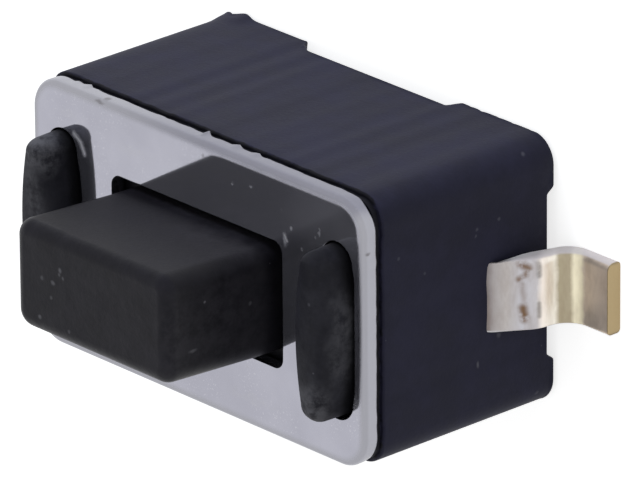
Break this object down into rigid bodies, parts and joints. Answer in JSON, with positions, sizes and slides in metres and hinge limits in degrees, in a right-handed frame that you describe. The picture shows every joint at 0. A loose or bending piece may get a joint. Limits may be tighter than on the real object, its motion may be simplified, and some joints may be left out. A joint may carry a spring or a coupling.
{
  "type": "surface mount push button micro switch",
  "caption": "Small surface-mount push-button switch: black moulded housing, steel cover held by staked posts, rectangular button on a snap dome, gull-wing terminals.",
  "frame": {"origin": "centre of the solder plane, under the middle of the housing", "axes": "+Z from the solder plane out through the button, +X along the housing's length towards the terminal of the centre contact, +Y across its width"},
  "size_m": [0.0082, 0.0036, 0.0049],
  "materials": {
    "housing_plastic": "fine matte moulding",
    "cover_steel": "bright rolled sheet with fine scratches",
    "button_plastic": "fine matte moulding",
    "dome_steel": "bright spring steel",
    "terminal_metal": "silver plated, bare brass at the cut ends"
  },
  "bodies": {
    "housing": {"base_housing": "housing_plastic", "cover_plate": "cover_steel", "snap_dome": "dome_steel", "left_terminal": "terminal_metal", "right_terminal": "terminal_metal"},
    "button": {"button": "button_plastic"}
  },
  "joints": [
    {"name": "button_press", "type": "slide", "parent": "housing", "child": "button", "axis": [0, 0, -1], "range_m": [0, 0.00025], "stiffness_N_per_m": 6400, "deforming": ["snap_dome"]}
  ]
}
